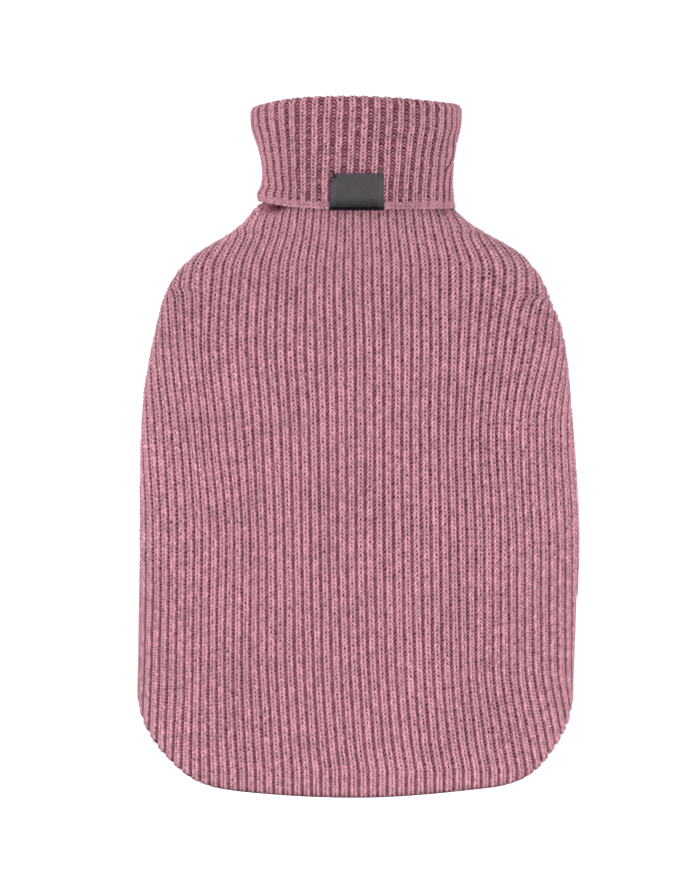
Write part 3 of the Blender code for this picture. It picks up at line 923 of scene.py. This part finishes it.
def tack_threads(name, tacks, material):
    """Short round threads with tapered ends, which go down into the knit and into the tape."""
    mesh = bmesh.new()
    for tack in tacks:
        x, height, over = smooth_line(tack, THREAD_STEPS).T
        path = over_hem(x, height, LABEL_BEFORE + LABEL_THICK + over)
        ahead = np.gradient(path, axis=0)
        ahead /= np.linalg.norm(ahead, axis=1)[:, None]
        sideways = np.cross(ahead, (0, 0, 1))
        sideways /= np.linalg.norm(sideways, axis=1)[:, None]
        upward = np.cross(sideways, ahead)
        share = np.linspace(0, 1, len(path))
        radius = THREAD * np.sqrt(1 - (2 * share - 1) ** 8 * THREAD_TAPER)
        turns = np.linspace(0, 2 * np.pi, THREAD_SIDES, endpoint=False)
        rings = [
            [mesh.verts.new(place + r * (np.cos(t) * side + np.sin(t) * up)) for t in turns]
            for place, side, up, r in zip(path, sideways, upward, radius)
        ]
        for ring, onward in zip(rings, rings[1:]):
            for i in range(THREAD_SIDES):
                mesh.faces.new((ring[i - 1], ring[i], onward[i], onward[i - 1]))
        mesh.faces.new(rings[0][::-1])
        mesh.faces.new(rings[-1])
    return finished(name, mesh, bpy.data.meshes.new(name), material)


# ---------------------------------------------------------------- finishes


class Wire:
    """A number that a shader works out, for use in sums."""

    def __init__(self, tree, socket):
        self.tree, self.socket = tree, socket

    def maths(self, operation, *terms):
        made = self.tree.nodes.new("ShaderNodeMath")
        made.operation = operation
        for place, term in enumerate((self, *terms)):
            if isinstance(term, Wire):
                self.tree.links.new(term.socket, made.inputs[place])
            else:
                made.inputs[place].default_value = term
        return Wire(self.tree, made.outputs[0])

    def __add__(self, other):
        return self.maths("ADD", other)

    def __sub__(self, other):
        return self.maths("SUBTRACT", other)

    def __mul__(self, other):
        return self.maths("MULTIPLY", other)

    def __pow__(self, other):
        return self.maths("POWER", other)

    def rest(self):
        """What is left of 1."""
        return (self * -1.0) + 1.0

    def wave(self):
        """1 at whole numbers and 0 halfway between."""
        return (self * (2 * np.pi)).maths("COSINE") * 0.5 + 0.5

    def fades(self, low, high):
        """A smooth climb from 0 at low to 1 at high."""
        made = node(self.tree, "ShaderNodeMapRange", {"Value": self, "From Min": low, "From Max": high})
        made.interpolation_type = "SMOOTHSTEP"
        return Wire(self.tree, made.outputs["Result"])


def node(tree, kind, inputs=(), **settings):
    """A new node with these settings, and with values or other nodes' outputs at its inputs."""
    made = tree.nodes.new(kind)
    for key, value in settings.items():
        setattr(made, key, value)
    for key, value in dict(inputs).items():
        if isinstance(value, Wire):
            value = value.socket
        if isinstance(value, bpy.types.NodeSocket):
            tree.links.new(value, made.inputs[key])
        else:
            made.inputs[key].default_value = value
    return made


def noise(tree, place, scale, detail=2.0):
    """Soft noise about 0.5, with scale features to a metre."""
    made = node(tree, "ShaderNodeTexNoise", {"Vector": place, "Scale": scale, "Detail": detail})
    return Wire(tree, made.outputs["Fac"])


def dice(tree, first, second):
    """One random value for each pair of whole numbers."""
    pair = node(tree, "ShaderNodeCombineXYZ", {"X": first.maths("FLOOR"), "Y": second.maths("FLOOR")})
    made = node(tree, "ShaderNodeTexWhiteNoise", {"Vector": pair.outputs[0]}, noise_dimensions="2D")
    return Wire(tree, made.outputs["Value"])


def axes(tree, vector):
    """The X and Y of a vector."""
    split = node(tree, "ShaderNodeSeparateXYZ", {"Vector": vector})
    return Wire(tree, split.outputs["X"]), Wire(tree, split.outputs["Y"])


def new_material(name, values):
    """A material whose shader has these values on its own sockets, with its nodes and the shader."""
    material = bpy.data.materials.new(name)
    material.use_nodes = True
    tree = material.node_tree
    shader = tree.nodes["Principled BSDF"]
    for socket, value in values.items():
        shader.inputs[socket].default_value = value
    return material, tree, shader


def link_finish(tree, shader, colour, light, roughness, bump):
    """Links a colour times the light on it, a roughness and a bump to a shader."""
    lit = node(tree, "ShaderNodeVectorMath", {0: colour, 3: light}, operation="SCALE")
    raised = node(tree, "ShaderNodeBump", bump)
    tree.links.new(lit.outputs[0], shader.inputs["Base Color"])
    tree.links.new(raised.outputs["Normal"], shader.inputs["Normal"])
    tree.links.new(roughness.socket, shader.inputs["Roughness"])


# How a knit's stitches are shaded, in ribs from a rib's middle: the dotted line's half width and how dark
# its painted shade is, where the groove's painted shade begins and where it is full, how dark that is between
# the purl bumps and how far those stand out light with painted highlight, by how many rows the groove's two
# sides are out of step, how much painted highlight and shade each leg of a stitch has, how much narrower a
# closed groove is, how much painted shade darkens the knit near the neck, and how light it is elsewhere.
KnitLook = namedtuple(
    "KnitLook",
    "name dot_wide dot_dark groove_from groove_full purl_dark pearl stagger legs closing neck_dark tone",
)
BODY_LOOK = KnitLook("rib_knit_body", 0.14, 1.20, 0.24, 0.40, 0.63, 0.42, 0.40, 0.54, 0.08, 0.11, 1.04)
COLLAR_LOOK = KnitLook("rib_knit_collar", 0.12, 1.15, 0.18, 0.35, 0.66, 0.85, 0.0, 0.35, 0.04, 0.0, 0.88)


# How fine the noises in the yarn and in the tape are, in features to a metre.
SPECKLE, FUZZ, SMEAR, DRIFT = 1100.0, 2600.0, 420.0, 24.0
SLUB, CLOUDY = 1500.0, 260.0
DEEPEST = 0.55  # the darkest painted shade, as a share of the groove's colour


def knit_material(look, settings):
    """Soft yarn, with painted shade that makes it darker and redder between the strands and in the grooves,
    painted highlight on the legs and purl bumps, and no two stitches alike.
    """
    values = {
        "Sheen Weight": 0.2,
        "Sheen Roughness": 0.5,
        "Sheen Tint": (1.0, 0.84, 0.88, 1.0),
        "Specular IOR Level": 0.2,
    }
    material, tree, shader = new_material(look.name, values)
    place = node(tree, "ShaderNodeTexCoord").outputs["Object"]
    rib, row = axes(tree, node(tree, "ShaderNodeUVMap", uv_map="stitches").outputs["UV"])
    speckle, fuzz = noise(tree, place, SPECKLE, 3.0), noise(tree, place, FUZZ)
    drift, smear = noise(tree, place, DRIFT), noise(tree, place, SMEAR)
    ribbing, crease_shade, stretch = (
        Wire(tree, node(tree, "ShaderNodeAttribute", attribute_name=name).outputs["Fac"])
        for name in ("ribbing", "crease_shade", "stretch")
    )
    # The dotted line down each rib's middle: painted shade in the gap between each stitch's two legs.
    from_middle = rib.maths("FRACT") - 0.5
    across = from_middle.maths("ABSOLUTE") + (smear - 0.5) * 0.22 + (speckle - 0.5) * 0.16
    between = (row + (smear - 0.5) * 1.1).wave().rest()
    dot_chance, purl_chance = dice(tree, rib, row), dice(tree, rib + 100.5, row)
    dot_shadows = across.fades(look.dot_wide, 0.0) * (between ** 1.5 * 0.75 + 0.25) * (dot_chance * 0.8 + 0.4)
    dot_shadows = dot_shadows * (stretch * 0.45 + 0.55) * (ribbing * 0.6 + 0.4)
    # The groove's painted shade, with painted highlight on a purl's bump and deeper painted shade in the gap
    # in each row.
    purls = (row + from_middle.fades(-0.05, 0.05) * look.stagger + (smear - 0.5) * 1.5).wave()
    groove = (across - stretch.rest() * look.closing).fades(look.groove_from, look.groove_full)
    gap_shade = (purls.rest() ** 2.0) * (purl_chance * 1.2 + 0.5) * (1 - look.purl_dark)
    # Painted highlight on each purl bump.
    pearl_highlights = (purls ** 2.0) * across.fades(0.32, 0.46) * (purl_chance.rest() + 0.2) * look.pearl
    in_groove = groove * (gap_shade - pearl_highlights + (speckle - 0.5) * 0.6 + look.purl_dark)
    # Painted shade in the slanted lines between strands, where there is no ribbing.
    slanted = (row - from_middle.maths("ABSOLUTE") * 2.0 + (smear - 0.5) * 0.8).wave().rest()
    stroke_shade = slanted ** 2.0 * ribbing.rest() * 0.50
    # The strongest painted shade at each place picks its colour, on a ramp from the crests' colour to the
    # grooves' shaded one.
    painted_shade = (dot_shadows * look.dot_dark).maths("MAXIMUM", in_groove * ribbing).maths("MAXIMUM", stroke_shade)
    # Painted shade in the creases and in the hollows under the hem.
    painted_shade = painted_shade.maths("MAXIMUM", crease_shade * 0.85)
    ramp = node(tree, "ShaderNodeValToRGB", {"Fac": painted_shade})
    elements = ramp.color_ramp.elements
    elements[0].position, elements[0].color = 0.0, (*settings.crest, 1)
    elements[1].position, elements[1].color = 1.0, (*(DEEPEST * value for value in settings.groove), 1)
    for position, tone in ((0.47, settings.body), (0.88, settings.groove)):
        elements.new(position).color = (*tone, 1)
    # How light each leg of a stitch is: a random tone for each, and painted highlight on the legs with
    # painted shade between them.
    leg_chance = dice(tree, rib * 2.0 + 300.0, row + 0.5)
    legs = (leg_chance - 0.5) * (stretch * 0.30 + 0.14)
    legs = legs + (between.rest() ** 2.0 - 0.375) * look.legs * (ribbing * 0.7 + 0.3)
    _, up = axes(tree, place)
    light = legs * (groove * ribbing).rest() + (speckle - 0.5) * 0.7 + (drift - 0.5) * 0.2
    # Painted shade that darkens the knit towards the neck, where the ribs are drawn together.
    light = light - up.fades(0.035, 0.075) * look.neck_dark + look.tone
    twist = (row * 2.0 + rib * 6.0).wave()
    bump = {"Height": twist * 0.3 + fuzz, "Distance": 0.0003, "Strength": 0.6}
    link_finish(tree, shader, ramp.outputs["Color"], light, speckle * 0.12 + 0.82, bump)
    return material


def tape_material(settings):
    """Charcoal satin tape: fine long floats with a soft gleam, and painted shade that darkens it towards the
    hem, where it turns under, and at its upper corners by the tacks.
    """
    material, tree, shader = new_material("woven_satin_tape", {"Specular IOR Level": 0.08})
    across, along = axes(tree, node(tree, "ShaderNodeUVMap", uv_map="tape").outputs["UV"])  # in millimetres
    place = node(tree, "ShaderNodeTexCoord").outputs["Object"]
    cloudy, slub = noise(tree, place, CLOUDY), noise(tree, place, SLUB)
    warp = (across * 4.0 + (slub - 0.5) * 0.3).wave()
    weft = (along * 2.8 + across * 0.56).wave()
    hem = LABEL_FACE / MM
    # Painted shade, deepening down towards the hem and where the tape turns under it.
    down, under = along.fades(10.0, hem), along.fades(hem - 1.2, hem)
    from_middle = across.maths("ABSOLUTE")
    selvedge = from_middle.fades(10.3, 10.8) * (across * 1.1).wave()
    # Painted shade at the upper corners, where the tacks pucker the tape.
    corner_shade = from_middle.fades(9.5, 12.5) * along.fades(4.5, 0.5)
    light = warp * 0.10 + weft * 0.06 + (cloudy - 0.5) * 0.35 + (slub - 0.5) * 0.5 + selvedge * 0.25
    light = light - down * 0.75 - under * 0.35 - corner_shade * 0.55 + 1.0
    bump = {"Height": warp * 0.6 + weft * 0.4, "Distance": 0.00005, "Strength": 0.7}
    link_finish(tree, shader, (*settings.tape,), light, slub * 0.16 + 0.40, bump)
    return material


def thread_material():
    """Near-black sewing thread, twisted, with painted gleam that makes it lighter to the right of the label
    than to the left.
    """
    material, tree, shader = new_material("tack_thread", {"Specular IOR Level": 0.15})
    across, up = axes(tree, node(tree, "ShaderNodeTexCoord").outputs["Object"])
    twist = (across * 2600.0 + up * 3400.0).wave()
    ramp = node(tree, "ShaderNodeValToRGB", {"Fac": twist})
    ramp.color_ramp.elements[0].color = (0.010, 0.010, 0.010, 1)
    ramp.color_ramp.elements[1].color = (0.055, 0.056, 0.052, 1)
    # Painted gleam that makes the threads to the right of the label lighter.
    painted_gleam = across.fades(-0.005, 0.005) * 2.6 + 0.5
    bump = {"Height": twist, "Distance": 0.00008, "Strength": 0.8}
    link_finish(tree, shader, ramp.outputs["Color"], painted_gleam, twist * 0.1 + 0.55, bump)
    return material


def knit(look, context):
    """The knit of this look, made once."""
    return bpy.data.materials.get(look.name) or knit_material(look, context.scene.cover_knit)


# ---------------------------------------------------------------- settings, operators and panel

FLOOR_HALF, FLOOR_DROP = 6.0, 0.0002  # the floor's half width, and how far it lies under the cover
FLOOR_FINISH = {
    "Base Color": (0.75, 0.75, 0.75, 1),
    "Roughness": 0.9,
    "Emission Color": (1, 1, 1, 1),
    "Emission Strength": 0.65,
}
SKY_LIGHT = 0.85  # strength of the white light from all round
LAMPS = (  # name, place, power in watts, width
    ("lamp_left", (-1.3, 0.8, 1.6), 13.0, 1.2),
    ("lamp_right", (0.7, -1.7, 1.5), 20.0, 1.4),
)
SENSOR = 36.0  # the camera's sensor, upright, in millimetres
CAMERA_X, FRAMED_AT = -0.0038, 0.021  # how far to the side the camera stands, and the height it is framed at


class KnitSettings(bpy.types.PropertyGroup):
    # The ramp's colours: the crests' own colour, and the ribs' sides and the grooves darkened with painted
    # shade.
    crest: FloatVectorProperty(
        name="Crest", description="Colour of the ribs' crests", subtype="COLOR", default=(0.60, 0.295, 0.36)
    )
    body: FloatVectorProperty(
        name="Rib", description="Colour of the ribs' sides", subtype="COLOR", default=(0.32, 0.118, 0.16)
    )
    groove: FloatVectorProperty(
        name="Groove", description="Colour deep in the grooves", subtype="COLOR", default=(0.15, 0.030, 0.052)
    )
    rib_depth: FloatProperty(
        name="Rib depth", description="Depth of the ribs, as a share of the real one", subtype="FACTOR",
        default=1.0, min=0.2, max=1.2,
    )


class LabelSettings(bpy.types.PropertyGroup):
    wide: FloatProperty(
        name="Width", description="Width of the label's tape", default=LABEL_WIDE, unit="LENGTH", min=0.01
    )
    thick: FloatProperty(
        name="Thickness", description="Thickness of the label's tape", default=LABEL_THICK, unit="LENGTH",
        min=0.0002, max=0.001,
    )
    tape: FloatVectorProperty(
        name="Tape", description="Colour of the woven label", subtype="COLOR", default=(0.066, 0.060, 0.064)
    )


class StageSettings(bpy.types.PropertyGroup):
    distance: FloatProperty(
        name="Camera height", description="From the camera to the floor", default=8.0, unit="LENGTH", min=0.5
    )
    framing: FloatProperty(
        name="Framing", description="How much of the cover's plane the view takes in, upright",
        default=0.4267, unit="LENGTH", min=0.1,
    )


class COVER_OT_front_body(bpy.types.Operator):
    """Knit the front panel's body"""

    bl_idname = "cover.front_body"
    bl_label = "Front body"

    def execute(self, context):
        depth = context.scene.cover_knit.rib_depth
        piece = body_panel("front_body", FRONT, depth, knit(BODY_LOOK, context))
        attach(piece, "root")
        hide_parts("front_panel")
        return {"FINISHED"}


class COVER_OT_back_body(bpy.types.Operator):
    """Knit the back panel's body"""

    bl_idname = "cover.back_body"
    bl_label = "Back body"

    def execute(self, context):
        depth = context.scene.cover_knit.rib_depth
        piece = body_panel("back_body", BACK, depth, knit(BODY_LOOK, context))
        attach(piece, "root")
        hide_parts("back_panel")
        return {"FINISHED"}


class COVER_OT_collar(bpy.types.Operator):
    """Knit the collar, front and back, with its fold and the inside of the neck"""

    bl_idname = "cover.collar"
    bl_label = "Turned-down collar"

    def execute(self, context):
        material = knit(COLLAR_LOOK, context)
        depth = context.scene.cover_knit.rib_depth
        for part, side in (("front", FRONT), ("back", BACK)):
            piece = collar_panel(f"{part}_collar", side, COLLAR_FINE[part], depth, material)
            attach(piece, "root")
            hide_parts(f"{part}_panel")
        return {"FINISHED"}


class COVER_OT_label(bpy.types.Operator):
    """Fold the woven label round the collar's hem and tack its upper corners"""

    bl_idname = "cover.label"
    bl_label = "Woven label"

    def execute(self, context):
        settings = context.scene.cover_label
        label = label_tape("label_tape", settings.wide, settings.thick, tape_material(settings))
        tacks = tack_threads("label_tacks", TACKS, thread_material())
        for piece in (label, tacks):
            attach(piece, "root")
        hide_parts("woven_label")
        return {"FINISHED"}


class COVER_OT_stage(bpy.types.Operator):
    """Set the pale floor, the soft lights and the camera above the cover"""

    bl_idname = "cover.stage"
    bl_label = "Stage"

    def execute(self, context):
        scene, settings = context.scene, context.scene.cover_stage
        mesh = bpy.data.meshes.new("floor")
        signs = ((-1, -1), (1, -1), (1, 1), (-1, 1))
        corners = [(x * FLOOR_HALF, y * FLOOR_HALF, -FLOOR_DROP) for x, y in signs]
        mesh.from_pydata(corners, [], [(0, 1, 2, 3)])
        floor = bpy.data.objects.new("floor", mesh)
        scene.collection.objects.link(floor)
        mesh.materials.append(new_material("floor_white", FLOOR_FINISH)[0])
        floor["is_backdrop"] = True
        world = scene.world or bpy.data.worlds.new("World")
        scene.world = world
        world.use_nodes = True
        background = world.node_tree.nodes.get("Background")
        background.inputs["Color"].default_value = (1, 1, 1, 1)
        background.inputs["Strength"].default_value = SKY_LIGHT
        for name, place, power, wide in LAMPS:
            data = bpy.data.lights.new(name, "AREA")
            data.energy, data.size = power, wide
            lamp = bpy.data.objects.new(name, data)
            lamp.location = place
            direction = -lamp.location
            lamp.rotation_euler = direction.to_track_quat("-Z", "Y").to_euler()
            scene.collection.objects.link(lamp)
        data = bpy.data.cameras.new("camera")
        data.sensor_fit = "VERTICAL"
        data.sensor_height = SENSOR
        data.lens = SENSOR * (settings.distance - FRAMED_AT) / settings.framing
        camera = bpy.data.objects.new("camera", data)
        camera.location = (CAMERA_X, 0.0, settings.distance)
        scene.collection.objects.link(camera)
        scene.camera = camera
        scene.view_settings.view_transform = "Standard"
        return {"FINISHED"}


class COVER_PT_panel(bpy.types.Panel):
    """Lists the settings, and what builds each piece"""

    bl_idname = "COVER_PT_panel"
    bl_label = "Bottle cover"
    bl_space_type = "VIEW_3D"
    bl_region_type = "UI"
    bl_category = "Bottle cover"

    def draw(self, context):
        for group, names, operators in (
            ("cover_knit", "crest body groove rib_depth", "front_body back_body collar"),
            ("cover_label", "tape wide thick", "label"),
            ("cover_stage", "distance framing", "stage"),
        ):
            box = self.layout.box()
            for name in names.split():
                box.prop(getattr(context.scene, group), name)
            for name in operators.split():
                box.operator(f"cover.{name}")


CLASSES = (
    KnitSettings,
    LabelSettings,
    StageSettings,
    COVER_OT_front_body,
    COVER_OT_back_body,
    COVER_OT_collar,
    COVER_OT_label,
    COVER_OT_stage,
    COVER_PT_panel,
)


def register():
    for kind in CLASSES:
        bpy.utils.register_class(kind)
    bpy.types.Scene.cover_knit = PointerProperty(type=KnitSettings)
    bpy.types.Scene.cover_label = PointerProperty(type=LabelSettings)
    bpy.types.Scene.cover_stage = PointerProperty(type=StageSettings)


def unregister():
    del bpy.types.Scene.cover_stage
    del bpy.types.Scene.cover_label
    del bpy.types.Scene.cover_knit
    for kind in reversed(CLASSES):
        bpy.utils.unregister_class(kind)


def main():
    register()
    bpy.ops.cover.stage()
    bpy.ops.cover.front_body()
    bpy.ops.cover.back_body()
    bpy.ops.cover.collar()
    bpy.ops.cover.label()
    boxes = {"cad": cad_box, "visual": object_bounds()}
    plain = {name: [[float(v) for v in corner] for corner in box] for name, box in boxes.items()}


if __name__ == "__main__":
    main()
